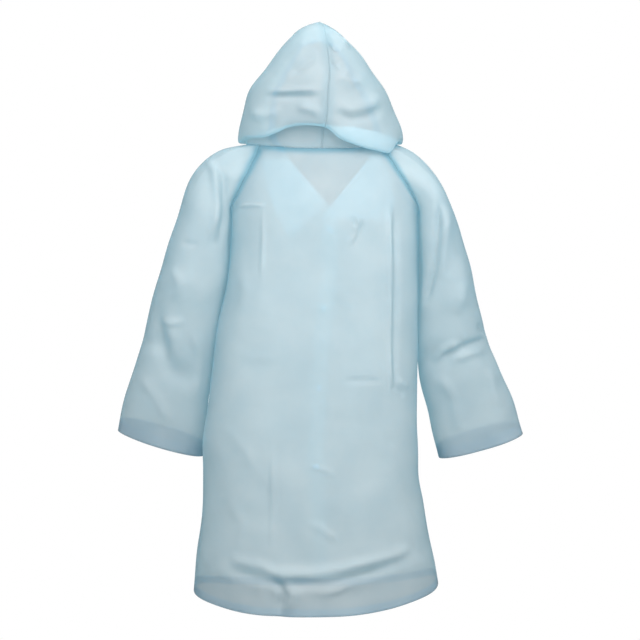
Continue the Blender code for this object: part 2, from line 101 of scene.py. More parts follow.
NECK_BACK_Z = -0.006
NECK_SIDE_Z = 0.008
NECK_FRONT_Z = 0.000
UNDERARM_Z = -0.105
HEM_BACK_Z = -0.767
HEM_FRONT_Z = -0.763
HEM_SIDES = {-1: dict(z=-0.739, curve=1.25), 1: dict(z=-0.724, curve=1.3)}
# The skirt waves in and out round the body below HEM_WAVE_TOP: count, phase and height.
HEM_WAVES = ((5, 0.4, 0.0042), (3, 1.9, 0.0034))
HEM_WAVE_TOP = -0.34
# Rounded ridges where the back bulges over its hem: x and z of both ends, width, height.
BACK_FOLDS = (
    (-0.155, -0.700, -0.085, -0.717, 0.016, 0.0035),
    (-0.085, -0.717, 0.060, -0.708, 0.016, 0.0045),
    (0.060, -0.708, 0.155, -0.690, 0.015, 0.0035),
    (-0.080, -0.722, -0.066, -0.768, 0.012, -0.0050),
)
BACK_FOLDS_BELOW = -0.62
SEAM_ROWS = 48
BODY_ROWS = 150
BACK_COLUMNS = 144
ROW_CROWDING = 1.7
SEAM_STEPS = 6


def signed_power(value, power):
    return copysign(abs(value) ** power, value)


def blend(start, end, t):
    return start + (end - start) * t


def smooth(t):
    t = min(max(t, 0.0), 1.0)
    return t * t * (3 - 2 * t)


def fold_height(folds, x, z):
    """Height of the largest folds at a place: each is a rounded ridge along a straight line."""
    height = 0.0
    for x0, z0, x1, z1, wide, high in folds:
        run_x, run_z = x1 - x0, z1 - z0
        along = ((x - x0) * run_x + (z - z0) * run_z) / (run_x**2 + run_z**2)
        near = min(max(along, 0.0), 1.0)
        away = hypot(x - x0 - near * run_x, z - z0 - near * run_z)
        height += high * exp(-((away / wide) ** 2))
    return height


def body_point(face, turn, z):
    """Point on the outside. face is -1 behind, 1 before; turn is 0 in its middle, pi/2 right."""
    power = 2 / BODY.read("square", z)
    half = BODY.read("half", z)
    depth = BODY.read("front" if face > 0 else "back", z)
    x = BODY.read("centre", z) + half * signed_power(sin(turn), power)
    y = face * depth * signed_power(cos(turn), power)
    swell = smooth((HEM_WAVE_TOP - z) / (HEM_WAVE_TOP - HEM_BACK_Z))
    around = turn if face < 0 else pi - turn
    wave = sum(high * cos(count * around + phase) for count, phase, high in HEM_WAVES) * swell
    if face < 0 and z < BACK_FOLDS_BELOW:
        wave += fold_height(BACK_FOLDS, x, z)
    grow = 1 + wave / half
    return Vector((x * grow, y * grow, z))


def turn_at(x, z):
    """How far round from the middle a face has the given x."""
    reach = (x - BODY.read("centre", z)) / BODY.read("half", z)
    return asin(signed_power(max(min(reach, 1.0), -1.0), BODY.read("square", z) / 2))


def neck_z(face, turn):
    middle = NECK_FRONT_Z if face > 0 else NECK_BACK_Z
    return blend(middle, NECK_SIDE_Z, sin(turn) ** 2)


def hem_z(face, turn):
    middle = HEM_FRONT_Z if face > 0 else HEM_BACK_Z
    side = HEM_SIDES[copysign(1, turn)]
    return blend(side["z"], middle, abs(cos(turn)) ** side["curve"])


def row_z(row, face, turn):
    """Height of a row: SEAM_ROWS of them from neck to underarm, BODY_ROWS more down to the hem."""
    if row <= SEAM_ROWS:
        fall = 1 - (1 - row / SEAM_ROWS) ** ROW_CROWDING
        return blend(neck_z(face, turn), UNDERARM_Z, fall)
    return blend(UNDERARM_Z, hem_z(face, turn), (row - SEAM_ROWS) / BODY_ROWS)


def side_turn(row, face):
    """How far round a face reaches on a row: to the raglan seam, and below that to the side seam.
    The raglan seam's angle and the row's height depend on each other, and settle in a few steps."""
    turn = pi / 2
    if row < SEAM_ROWS:
        for _ in range(SEAM_STEPS):
            turn = radians(RAGLAN.read("degrees", row_z(row, face, turn)))
    return turn


def back_rows():
    rows = []
    for row in range(SEAM_ROWS + BODY_ROWS + 1):
        reach = side_turn(row, -1)
        turns = [blend(-reach, reach, i / BACK_COLUMNS) for i in range(BACK_COLUMNS + 1)]
        rows.append([body_point(-1, turn, row_z(row, -1, turn)) for turn in turns])
    return np.array(rows)


FAR = 9.0
TINY = 1e-9


def outward_normals(grid, inside, closed=False):
    """Unit normals of a grid of points, away from the point inside."""
    down = np.gradient(grid, axis=0)
    if closed:
        across = np.roll(grid, -1, axis=1) - np.roll(grid, 1, axis=1)
    else:
        across = np.gradient(grid, axis=1)
    normals = np.cross(across, down)
    normals /= np.maximum(np.linalg.norm(normals, axis=2, keepdims=True), TINY)
    return normals * np.sign((normals * (grid - np.array(inside))).sum())


# Creases are drawn CREASE_DEPTH times as deep as listed, to show in so clear a film. They fade at
# their ends and where the film turns to its side, and their height beats along their length.
CREASE_DEPTH = 1.9
CREASE_FADE = 0.25
CREASE_TURN = 2.5
CREASE_UNEVEN = 0.25
CREASE_BEAT = 0.017
CREASE_PHASE = 900


def crease_heights(grid, normals, creases, face):
    """Height of the creases of one face (-1 behind, 1 before). Each is a soft ridge, or a trough if
    its height is negative, along a path of (x, z) places, listed in millimetres."""
    x, z = grid[..., 0], grid[..., 2]
    shown = np.clip(face * normals[..., 1] * CREASE_TURN, 0, 1)
    height = np.zeros(x.shape)
    for crease in creases:
        path = np.array(crease["path"]) / 1000
        wide, high = crease["wide"] / 1000, crease["high"] / 1000
        steps = np.linalg.norm(np.diff(path, axis=0), axis=1)
        length, gone = steps.sum(), 0.0
        nearest, place = np.full(x.shape, FAR), np.zeros(x.shape)
        for start, end, step in zip(path, path[1:], steps):
            run = end - start
            t = np.clip(((x - start[0]) * run[0] + (z - start[1]) * run[1]) / step**2, 0, 1)
            away = np.hypot(x - blend(start[0], end[0], t), z - blend(start[1], end[1], t))
            closer = away < nearest
            nearest = np.where(closer, away, nearest)
            place = np.where(closer, (gone + t * step) / length, place)
            gone += step
        fade = np.clip(np.minimum(place, 1 - place) / crease.get("fade", CREASE_FADE), 0, 1)
        beat = np.sin(place * length / CREASE_BEAT + wide * CREASE_PHASE)
        uneven = 1 + CREASE_UNEVEN * beat
        height += CREASE_DEPTH * high * fade * uneven * np.exp(-(nearest / wide) ** 2)
    return height * shown


# Broad slack in the film: waves with their lengths along X and Z, phase and height. All have the
# same length along Y, so that they differ before and behind.
SLACK_LONG_Y = 0.30
SLACK = (
    (0.310, 0.230, 0.6, 0.0011),
    (0.170, -0.410, 2.1, 0.0008),
    (-0.120, 0.260, 4.0, 0.0006),
    (0.085, 0.190, 1.2, 0.0005),
    (0.210, -0.090, 5.1, 0.0005),
)


def slack_height(grid):
    x, y, z = grid[..., 0], grid[..., 1], grid[..., 2]
    return sum(high * np.sin(2 * pi * (x / long_x + z / long_z + y / SLACK_LONG_Y) + phase)
               for long_x, long_z, phase, high in SLACK)


def edge_distance(grid, edges):
    """How far each point lies from the named edges of its grid, measured along the film."""
    away = np.full(grid.shape[:2], FAR)
    down = np.concatenate([np.zeros((1, grid.shape[1])),
                           np.linalg.norm(np.diff(grid, axis=0), axis=2).cumsum(axis=0)])
    across = np.concatenate([np.zeros((grid.shape[0], 1)),
                             np.linalg.norm(np.diff(grid, axis=1), axis=2).cumsum(axis=1)],
                            axis=1)
    reach = dict(top=down, bottom=down[-1:] - down, first=across, last=across[:, -1:] - across)
    for edge in edges:
        away = np.minimum(away, reach[edge])
    return away


# A weld is a fine line pressed into both films, beside about 10 mm of doubled film, whose cut edge
# shows softly through the frosting. Near a seam the film lies flat.
WELD_LINE = 0.0028
WELD_DEPTH = 0.0002
WELD_BAND = 0.0100
WELD_SOFT = 0.0100
SEAM_EASE = 0.03


def finished_film(grid, inside, seams, creases, ease=SEAM_EASE, free=(), closed=False):
    """Puts creases, by face, and slack into a grid, and presses the weld line in along its seams.
    Gives the grid, and how much each place belongs to the doubled film of a weld."""
    normals = outward_normals(grid, inside, closed)
    away = edge_distance(grid, seams)
    height = slack_height(grid)
    for face, lines in creases.items():
        height = height + crease_heights(grid, normals, lines, face)
    height = height * np.clip(np.minimum(away, edge_distance(grid, free)) / ease, 0, 1)
    pressed = WELD_DEPTH * np.exp(-(away / WELD_LINE) ** 2)
    shaped = grid + normals * height[..., None] - normals * pressed[..., None]
    return shaped, np.clip((WELD_BAND - away) / WELD_SOFT + 0.5, 0, 1)


def add_piece(name, mesh, material):
    """Puts a built mesh into the scene, smooth and in its material."""
    data = bpy.data.meshes.new(name)
    mesh.to_mesh(data)
    mesh.free()
    data.materials.append(material)
    data.shade_smooth()
    piece = bpy.data.objects.new(name, data)
    bpy.context.scene.collection.objects.link(piece)
    return piece


# The film is really 0.1 mm thick. It is drawn as 0.4 mm, so that its edges show.
FILM_THICK = 0.0004
TOUCHING = 1e-6


def film_piece(name, grid, inside, material, weld=None, closed=False):
    """A piece of film: a fine grid laid on the points, and Solidify to its inner side."""
    if closed:
        grid = np.concatenate([grid, grid[:, :1]], axis=1)
        weld = None if weld is None else np.concatenate([weld, weld[:, :1]], axis=1)
    mesh = bmesh.new()
    bmesh.ops.create_grid(mesh, x_segments=grid.shape[1] - 1, y_segments=grid.shape[0] - 1, size=1)
    for vertex, point in zip(mesh.verts, grid.reshape(-1, 3)):
        vertex.co = point
    if weld is not None:
        layer = mesh.verts.layers.float.new("weld")
        for vertex, amount in zip(mesh.verts, weld.ravel()):
            vertex[layer] = amount
    if closed:
        bmesh.ops.remove_doubles(mesh, verts=mesh.verts, dist=TOUCHING)
    mesh.normal_update()
    if sum(face.normal.dot(face.calc_center_median() - inside) for face in mesh.faces) < 0:
        bmesh.ops.reverse_faces(mesh, faces=mesh.faces)
    piece = add_piece(name, mesh, material)
    shell = piece.modifiers.new("thickness", "SOLIDIFY")
    shell.thickness = FILM_THICK
    shell.offset = -1
    return piece


def linear(hex_colour):
    """An sRGB hex colour as linear RGBA."""
    parts = [int(hex_colour[i:i + 2], 16) / 255 for i in (1, 3, 5)]
    return (*(c / 12.92 if c <= 0.04045 else ((c + 0.055) / 1.055) ** 2.4 for c in parts), 1)


def empty_tree(owner):
    """The cleared node tree of a material or world."""
    owner.use_nodes = True
    owner.node_tree.nodes.clear()
    return owner.node_tree


def add_node(tree, kind, inputs=None, stops=(), **settings):
    """Adds a node. An input is a value, or (node, output) to link. stops are a colour ramp's places
    and hex colours; settings are the node's own options."""
    node = tree.nodes.new(kind)
    for name, value in settings.items():
        setattr(node, name, value)
    for name, value in (inputs or {}).items():
        if isinstance(value, tuple) and isinstance(value[0], bpy.types.Node):
            tree.links.new(value[0].outputs[value[1]], node.inputs[name])
        else:
            node.inputs[name].default_value = value
    for i, (place, colour) in enumerate(stops):
        node.color_ramp.elements[i].position = place
        node.color_ramp.elements[i].color = linear(colour)
    return node


# EVA film, calendered and frosted on its outer side. Light scatters in it, so it glows where light
# falls from behind, and shapes near it show through as soft lighter or darker fields.
HAZE_MM = 62.5
CRINKLE_MM = 38.46
CRINKLE_HIGH = 0.0026
FROST_MM = 1.613
WELD_CLEARNESS = 0.88


def eva_film(name, face, face_dark, glow, clear, clear_share, glow_share, weld_colour="#8ab2c1"):
    """clear_share of the light goes straight through each face of the film, and glow_share of the
    rest is scattered through it. glow and clear are the colours that those two leave the light."""
    material = bpy.data.materials.new(name)
    tree = empty_tree(material)
    place = (add_node(tree, "ShaderNodeTexCoord"), "Object")
    # Haze: the frosting is cloudy, in clouds about 60 mm across with finer ones in them.
    cloud = add_node(tree, "ShaderNodeTexNoise", {"Vector": place, "Scale": 1000 / HAZE_MM,
                                                  "Detail": 3.0, "Roughness": 0.55})
    haze = add_node(tree, "ShaderNodeValToRGB", {"Fac": (cloud, "Fac")},
                    stops=((0.36, face_dark), (0.64, face)))
    weld = add_node(tree, "ShaderNodeAttribute", attribute_name="weld")
    colour = add_node(tree, "ShaderNodeMix", {"Factor": (weld, "Fac"), "A": (haze, "Color"),
                                              "B": linear(weld_colour)}, data_type="RGBA")
    # Handling wrinkles: soft crinkles about 40 mm apart, a little longer across than down.
    stretch = add_node(tree, "ShaderNodeMapping", {"Vector": place, "Scale": (0.7, 1.0, 1.0)})
    crinkle = add_node(tree, "ShaderNodeTexNoise",
                       {"Vector": (stretch, "Vector"), "Scale": 1000 / CRINKLE_MM,
                        "Detail": 1.0, "Roughness": 0.4})
    soft = add_node(tree, "ShaderNodeBump", {"Height": (crinkle, "Fac"), "Strength": 1.0,
                                             "Distance": CRINKLE_HIGH})
    # Frosting: really 0.05 mm grain, drawn as 1.6 mm so that it shows as uneven dullness.
    frost = add_node(tree, "ShaderNodeTexNoise", {"Vector": place, "Scale": 1000 / FROST_MM,
                                                  "Detail": 2.0})
    dull = add_node(tree, "ShaderNodeMapRange", {"Value": (frost, "Fac"), "From Min": 0.3,
                                                 "From Max": 0.7, "To Min": 0.40, "To Max": 0.56})
    skin = add_node(tree, "ShaderNodeBsdfPrincipled",
                    {"Base Color": (colour, "Result"), "Roughness": (dull, "Result"), "IOR": 1.49,
                     "Specular IOR Level": 0.35, "Normal": (soft, "Normal")})
    through = add_node(tree, "ShaderNodeBsdfTranslucent",
                       {"Color": linear(glow), "Normal": (soft, "Normal")})
    body = add_node(tree, "ShaderNodeMixShader",
                    {"Fac": glow_share, 1: (skin, "BSDF"), 2: (through, "BSDF")})
    gap = add_node(tree, "ShaderNodeBsdfTransparent", {"Color": linear(clear)})
    # The doubled film of a weld lets less through.
    share = add_node(tree, "ShaderNodeMapRange", {"Value": (weld, "Fac"), "To Min": clear_share,
                                                  "To Max": clear_share * WELD_CLEARNESS})
    film = add_node(tree, "ShaderNodeMixShader",
                    {"Fac": (share, "Result"), 1: (body, "Shader"), 2: (gap, "BSDF")})
    add_node(tree, "ShaderNodeOutputMaterial", {"Surface": (film, "Shader")})
    return material


panel_film = eva_film("frosted_eva_film", face="#f5f6f6", face_dark="#e9edef", glow="#ace0ee",
                      clear="#f6fafb", clear_share=0.69, glow_share=0.52)

# Creases of the back, in millimetres: slack over the hem, packing folds across and up and down, a
# small bundle of wrinkles right of the open neck, and broad soft waves.
BACK_CREASES = (
    dict(path=((-149, -679), (-94, -687), (-70, -698), (-16, -698), (40, -690), (81, -681),
               (123, -672), (152, -661)), wide=9.0, high=3.6, fade=0.10),
    dict(path=((-150, -698), (-94, -706), (-50, -716), (10, -712), (81, -699), (145, -680)),
         wide=8.5, high=-3.0, fade=0.14),
    dict(path=((-78, -700), (-58, -729), (-68, -762)), wide=6.0, high=-3.4),
    dict(path=((-64, -700), (-43, -731), (-52, -762)), wide=7.5, high=2.6),
    dict(path=((-10, -733), (30, -724), (58, -709)), wide=6.0, high=1.8),
    dict(path=((-136, -101), (-112, -100), (-88, -103)), wide=3.6, high=1.3),
    dict(path=((40, -388), (70, -387), (100, -389)), wide=3.4, high=-1.6),
    dict(path=((130, -386), (149, -402)), wide=5.0, high=2.0),
    dict(path=((116, -394), (140, -414)), wide=4.5, high=-1.8),
    dict(path=((115, -94), (114, -240), (115, -410)), wide=4.5, high=2.2, fade=0.10),
    dict(path=((124, -110), (123, -240), (124, -400)), wide=5.5, high=-2.0, fade=0.12),
    dict(path=((-76, -480), (-77, -660)), wide=3.6, high=1.6),
    dict(path=((-94, -102), (-95, -227)), wide=3.6, high=1.2),
    dict(path=((-10, -525), (23, -540)), wide=4.0, high=1.6),
    dict(path=((-16, -613), (26, -645)), wide=5.0, high=1.6),
    dict(path=((52, -122), (62, -140), (52, -158)), wide=2.8, high=-2.6),
    dict(path=((70, -126), (64, -150), (52, -170)), wide=2.8, high=-2.6),
    dict(path=((64, -124), (58, -150), (48, -168)), wide=3.0, high=2.8),
    dict(path=((-140, -160), (-124, -240), (-138, -320)), wide=11.0, high=1.1, fade=0.40),
    dict(path=((-156, -330), (-110, -352), (-50, -346)), wide=10.0, high=0.9, fade=0.40),
    dict(path=((0, -226), (52, -262), (66, -330)), wide=10.0, high=0.7, fade=0.40),
    dict(path=((-165, -460), (-120, -500), (-90, -560)), wide=11.0, high=1.0, fade=0.40),
    dict(path=((70, -460), (118, -510), (142, -590)), wide=11.0, high=1.0, fade=0.40),
    dict(path=((-156, -570), (-128, -620), (-140, -664)), wide=10.0, high=1.0, fade=0.40),
)

middle = Vector((0, 0, -0.40))
back_grid, weld = finished_film(back_rows(), middle, ("first", "last", "top"),
                                {-1: BACK_CREASES})
back = film_piece("back_panel", back_grid, middle, panel_film, weld=weld)
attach(back, "root")
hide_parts("back_upper", "back_lower")


# ---------------------------------------------------------------- fronts, with turned-out edges
# Two panels of the same film, welded to the back and the sleeves. They close right over left with
# press studs, a little right of the middle. Above the top stud both edges are turned out and lie
# open, doubled on the front, which makes the V with pale bands that is seen through the back.

CLOSURE_X = 0.0095
LAP_HALF = 0.015
LAP_RISE = 0.0042
LAP_SLOPE = 0.030
SIGN = {"left": -1, "right": 1}
FRONT_COLUMNS = 72
EDGE_STEPS = 4
# A turned-out edge folds over on a line up to its break's top, and lies out to its outline.
BREAK_TOP = {"left": (-0.060, 0.000), "right": (0.093, 0.002)}
LAPELS = {
    "left": ((-0.053, -0.146), (-0.076, -0.108), (-0.093, -0.060), (-0.103, -0.010)),
    "right": ((0.124, -0.116), (0.132, -0.082), (0.121, -0.040), (0.110, -0.008)),
}
LAPEL_START_Z = {"left": -0.081, "right": UNDERARM_Z}
LAPEL_LIFT = 0.0060
LAPEL_SEAT = 0.0027
LAPEL_ROLL = 0.10
LAPEL_ROUND = 0.8
LAPEL_UNDER_SEAM = 0.004
LAPEL_ROWS = 42
LAPEL_COLUMNS = 24
LAPEL_CROWDING = 1.3


def front_edge_x(side, z):
    """x of a front's own edge: the straight lap edge, and above it the line it is turned out on."""
    lap = BODY.read("centre", z) + CLOSURE_X - SIGN[side] * LAP_HALF
    if z <= UNDERARM_Z:
        return lap
    top_x, top_z = BREAK_TOP[side]
    start = BODY.read("centre", UNDERARM_Z) + CLOSURE_X - SIGN[side] * LAP_HALF
    return blend(start, top_x, min((z - UNDERARM_Z) / (top_z - UNDERARM_Z), 1.0))


def lap_rise(side, x, z):
    """The right front lies over the left one, so it stands out where they overlap."""
    if side == "left":
        return 0.0
    start = BODY.read("centre", z) + CLOSURE_X + LAP_HALF + LAP_SLOPE
    return LAP_RISE * smooth((start - x) / LAP_SLOPE)


def front_rows(side):
    """One front, from its side seam and raglan seam to its own edge."""
    rows = []
    for row in range(SEAM_ROWS + BODY_ROWS + 1):
        reach = SIGN[side] * side_turn(row, 1)
        edge = 0.0
        for _ in range(EDGE_STEPS):
            edge = turn_at(front_edge_x(side, row_z(row, 1, edge)), row_z(row, 1, edge))
        points = []
        for i in range(FRONT_COLUMNS + 1):
            turn = blend(reach, edge, i / FRONT_COLUMNS)
            point = body_point(1, turn, row_z(row, 1, turn))
            point.y += lap_rise(side, point.x, point.z)
            points.append(point)
        rows.append(points)
    return np.array(rows)


def outline_point(points, t):
    """Place on an open outline of (x, z) points, t from 0 to 1."""
    place = t * (len(points) - 1)
    i = min(int(place), len(points) - 2)
    part = place - i
    return [blend(low, high, part) for low, high in zip(points[i], points[i + 1])]


def lapel_rows(side):
    """The upper front edge: rolled out over its line, then lying on the front."""
    top_x, top_z = BREAK_TOP[side]
    rows = []
    for row in range(LAPEL_ROWS + 1):
        t = row / LAPEL_ROWS
        break_z = blend(LAPEL_START_Z[side], top_z - LAPEL_UNDER_SEAM, t)
        break_x = front_edge_x(side, break_z)
        free_x, free_z = outline_point(LAPELS[side], t)
        points = []
        for i in range(LAPEL_COLUMNS + 1):
            w = (i / LAPEL_COLUMNS) ** LAPEL_CROWDING
            x, z = blend(break_x, free_x, w), blend(break_z, free_z, w)
            point = body_point(1, turn_at(x, z), z)
            seat = LAPEL_SEAT * smooth(w / LAPEL_ROLL)
            point.y += seat + LAPEL_LIFT * sin(pi * w) ** LAPEL_ROUND + lap_rise(side, x, z)
            points.append(point)
        rows.append(points)
    return np.array(rows)


# The hidden front is finished like the back: packing folds, slack over the hem, short wrinkles.
FRONT_CREASES = (
    dict(path=((-108, -120), (-109, -300), (-107, -560)), wide=3.0, high=1.4, fade=0.12),
    dict(path=((104, -140), (105, -330), (103, -600)), wide=2.8, high=-1.3, fade=0.12),
    dict(path=((-150, -394), (-80, -391), (-22, -393)), wide=2.6, high=1.1),
    dict(path=((40, -390), (120, -393)), wide=3.0, high=-1.2),
    dict(path=((30, -690), (90, -676), (160, -684)), wide=6.0, high=2.0),
    dict(path=((-165, -668), (-100, -684), (-30, -672)), wide=6.0, high=1.8),
    dict(path=((-60, -700), (-70, -755)), wide=6.0, high=-2.2),
    dict(path=((110, -700), (96, -750)), wide=5.5, high=-1.8),
    dict(path=((34, -150), (70, -205)), wide=4.0, high=1.3),
    dict(path=((36, -290), (80, -318)), wide=3.5, high=1.1),
    dict(path=((-20, -286), (-64, -312)), wide=3.5, high=1.0),
    dict(path=((-22, -560), (-60, -592)), wide=3.5, high=1.0),
)

# The same EVA film lying doubled: air between the frosted faces turns it milky.
doubled_film = eva_film("doubled_eva_film", face="#eaf1f5", face_dark="#dfe9ee", glow="#cfeaf4",
                        clear="#f6fafb", clear_share=0.46, glow_share=0.52)

front_grids = {}
for side in ("left", "right"):
    front_grids[side], weld = finished_film(front_rows(side), middle, ("first", "top"),
                                            {1: FRONT_CREASES}, free=("last",))
    front = film_piece("front_panel_" + side, front_grids[side], middle, panel_film, weld=weld)
    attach(front, "root")
    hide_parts("front_" + side + "_upper", "front_" + side + "_lower")
    lapel = film_piece("turned_edge_" + side, lapel_rows(side), Vector((0, -1, 0)), doubled_film)
    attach(lapel, "root")
    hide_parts("front_" + side + "_lapel")


# ---------------------------------------------------------------- sleeves
# Each raglan sleeve is one panel of the film, folded round and welded along the underarm, with its
# head running up to the neck. It hangs wide and empty, and crumples at the elbow.

NECK_COLUMNS = 42
SHOULDER_ROWS = 36
SLEEVE_ROWS = 96
SLEEVE_MIDDLE_ROW = SHOULDER_ROWS + 40
# Sections of a sleeve, in metres, from underarm to cuff. inner and outer: its ends; middle: how far
# forward it lies; back and front: its depths; wrap: how far it reaches round the body; droop: how
# much lower it hangs behind.
SLEEVE_COLUMNS = "along inner_x inner_z outer_x outer_z middle back front wrap droop"
SLEEVES = {
    "left": Table(
        SLEEVE_COLUMNS,
        (0.00, -0.1525, -0.124, -0.2400, -0.108, 0.000, 0.078, 0.078, 0.009, 0.000),
        (0.20, -0.1575, -0.206, -0.2640, -0.187, 0.008, 0.077, 0.076, 0.010, 0.000),
        (0.42, -0.1755, -0.298, -0.2895, -0.271, 0.016, 0.068, 0.068, 0.010, 0.000),
        (0.64, -0.1855, -0.382, -0.3125, -0.350, 0.026, 0.057, 0.060, 0.008, 0.001),
        (0.83, -0.1935, -0.457, -0.3340, -0.418, 0.034, 0.047, 0.051, 0.004, 0.003),
        (1.00, -0.2015, -0.522, -0.3500, -0.478, 0.040, 0.039, 0.043, 0.000, 0.006),
    ),
    "right": Table(
        SLEEVE_COLUMNS,
        (0.00, 0.1700, -0.124, 0.2260, -0.112, 0.000, 0.088, 0.086, 0.009, 0.000),
        (0.20, 0.1720, -0.206, 0.2525, -0.191, 0.008, 0.083, 0.080, 0.010, 0.000),
        (0.42, 0.1700, -0.298, 0.2740, -0.275, 0.016, 0.072, 0.071, 0.010, 0.000),
        (0.64, 0.1715, -0.382, 0.2990, -0.350, 0.026, 0.059, 0.061, 0.006, 0.001),
        (0.83, 0.1870, -0.457, 0.3270, -0.417, 0.034, 0.048, 0.052, 0.002, 0.003),
        (1.00, 0.2035, -0.526, 0.3500, -0.484, 0.040, 0.040, 0.044, 0.000, 0.006),
    ),
}
SLEEVE_POWER = 2 / 2.2
# How steeply and how fully the film leaves the neck over each shoulder, and how soon it has turned
# into the arm's direction.
SHOULDER_FALL = {"left": 0.04, "right": 0.36}
SHOULDER_SWELL = {"left": 1.22, "right": 1.08}
SHOULDER_LEAD = 0.04
# Large dents and swellings: place along the arm and degrees round it from the underarm, its width
# both ways, and its height.
SLEEVE_FOLDS = {
    "left": (
        (0.56, 118, 0.045, 38, -0.0065),
        (0.66, 80, 0.050, 34, -0.0050),
        (0.30, 110, 0.060, 40, 0.0040),
        (0.55, 260, 0.050, 40, -0.0060),
    ),
    "right": (
        (0.57, 75, 0.045, 36, -0.0060),
        (0.60, 130, 0.040, 34, -0.0045),
        (0.34, 105, 0.060, 40, 0.0040),
        (0.58, 250, 0.050, 40, -0.0060),
    ),
}


def raglan_loop(side):
    """The sleeve's upper edge: underarm, back seam, neck seam over the shoulder, front seam."""
    sign = SIGN[side]
    loop = []
    for row in range(SEAM_ROWS, 0, -1):
        turn = sign * side_turn(row, -1)
        loop.append((body_point(-1, turn, row_z(row, -1, turn)), row / SEAM_ROWS))
    start, end = side_turn(0, -1), pi - side_turn(0, 1)
    for i in range(NECK_COLUMNS + 1):
        around = blend(start, end, i / NECK_COLUMNS)
        face, turn = (-1, around) if around <= pi / 2 else (1, pi - around)
        loop.append((body_point(face, sign * turn, neck_z(face, turn)), 0.0))
    for row in range(1, SEAM_ROWS):
        turn = sign * side_turn(row, 1)
        loop.append((body_point(1, turn, row_z(row, 1, turn)), row / SEAM_ROWS))
    return loop


def sleeve_ring(side, along, count):
    """A closed section of a sleeve, from the underarm side round by the back."""
    table = SLEEVES[side]
    inner = Vector((table.read("inner_x", along), 0, table.read("inner_z", along)))
    outer = Vector((table.read("outer_x", along), 0, table.read("outer_z", along)))
    middle, reach = (inner + outer) / 2, (inner - outer) / 2
    back, before, wrap = (table.read(name, along) for name in ("back", "front", "wrap"))
    depth_middle, droop = table.read("middle", along), table.read("droop", along)
    ring = []
    for i in range(count):
        turn = 2 * pi * i / count
        swell = sum(high * exp(-((along - place) / long) ** 2 - ((degrees(turn) - at) / wide) ** 2)
                    for place, at, long, wide, high in SLEEVE_FOLDS[side])
        depth = (back if sin(turn) >= 0 else before) + swell
        out = reach * (1 + swell / reach.length)
        point = middle + out * signed_power(cos(turn), SLEEVE_POWER)
        if cos(turn) > 0:
            point += reach.normalized() * wrap * sin(2 * turn) ** 2
        point.y = depth_middle - depth * signed_power(sin(turn), SLEEVE_POWER)
        point.z -= droop * sin(turn)
        ring.append(point)
    return ring


def sleeve_rows(side):
    """From the raglan seam over the shoulder to the upper arm, then down to the cuff."""
    loop = raglan_loop(side)
    count = len(loop)
    first = sleeve_ring(side, 0, count)
    second = sleeve_ring(side, SHOULDER_LEAD, count)
    rows = []
    for step in range(SHOULDER_ROWS):
        t = step / SHOULDER_ROWS
        ring = []
        for (seam, down), arm, below in zip(loop, first, second):
            reach = (arm - seam).length * SHOULDER_SWELL[side]
            level = 1 - down**2
            fall = 1 - level + SHOULDER_FALL[side] * level
            leave = Vector((SIGN[side] * level, 0, -fall)).normalized() * reach
            arrive = (below - arm).normalized() * reach
            ring.append((2 * t**3 - 3 * t**2 + 1) * seam + (t**3 - 2 * t**2 + t) * leave
                        + (3 * t**2 - 2 * t**3) * arm + (t**3 - t**2) * arrive)
        rows.append(ring)
    for step in range(SLEEVE_ROWS + 1):
        rows.append(sleeve_ring(side, step / SLEEVE_ROWS, count))
    return np.array(rows)


# Creases in millimetres: -1 is what shows from behind, 1 are similar ones before.
SLEEVE_CREASES = {
    "left": {
        -1: (
            dict(path=((-190, -16), (-172, -45), (-170, -99), (-180, -160)), wide=7.5, high=4.5),
            dict(path=((-176, -30), (-158, -60), (-158, -120), (-168, -170)), wide=7.0, high=-3.0),
            dict(path=((-230, -160), (-214, -164), (-200, -164)), wide=4.5, high=-1.8),
            dict(path=((-270, -286), (-252, -294), (-226, -292)), wide=6.0, high=1.6),
            dict(path=((-276, -250), (-270, -300), (-262, -350), (-240, -400)), wide=11.0,
                 high=-3.4, fade=0.35),
            dict(path=((-252, -270), (-244, -330), (-222, -380)), wide=12.0, high=2.6, fade=0.35),
            dict(path=((-215, -300), (-200, -352), (-212, -430)), wide=8.5, high=2.0),
            dict(path=((-308, -380), (-276, -420), (-252, -470)), wide=9.0, high=1.8),
            dict(path=((-246, -200), (-232, -230), (-236, -262)), wide=8.0, high=1.6),
        ),
        1: (
            dict(path=((-290, -300), (-240, -330), (-200, -322)), wide=8.0, high=-2.6),
            dict(path=((-285, -320), (-235, -352), (-200, -350)), wide=8.5, high=2.4),
            dict(path=((-226, -140), (-196, -190), (-190, -250)), wide=8.0, high=2.2),
            dict(path=((-260, -400), (-240, -470)), wide=8.0, high=1.8),
        ),
    },
    "right": {
        -1: (
            dict(path=((198, -90), (192, -159), (187, -209), (172, -264)), wide=6.0, high=-3.6,
                 fade=0.12),
            dict(path=((212, -100), (206, -165), (200, -225)), wide=8.0, high=2.6),
            dict(path=((192, -362), (206, -338), (236, -322)), wide=6.5, high=2.6),
            dict(path=((226, -340), (252, -330), (286, -322)), wide=6.5, high=-2.8),
            dict(path=((216, -358), (250, -346), (286, -340)), wide=8.0, high=2.6),
            dict(path=((262, -296), (290, -312)), wide=6.0, high=-2.4),
            dict(path=((200, -380), (226, -420), (236, -480)), wide=9.0, high=2.0),
            dict(path=((286, -370), (302, -440)), wide=8.5, high=2.0),
            dict(path=((236, -180), (240, -230), (228, -280)), wide=10.0, high=2.2),
        ),
        1: (
            dict(path=((190, -306), (236, -334), (276, -318)), wide=8.0, high=-2.6),
            dict(path=((196, -326), (240, -356), (282, -346)), wide=8.5, high=2.4),
            dict(path=((214, -120), (206, -190), (190, -250)), wide=8.0, high=2.2),
            dict(path=((250, -400), (236, -468)), wide=8.0, high=1.8),
        ),
    },
}

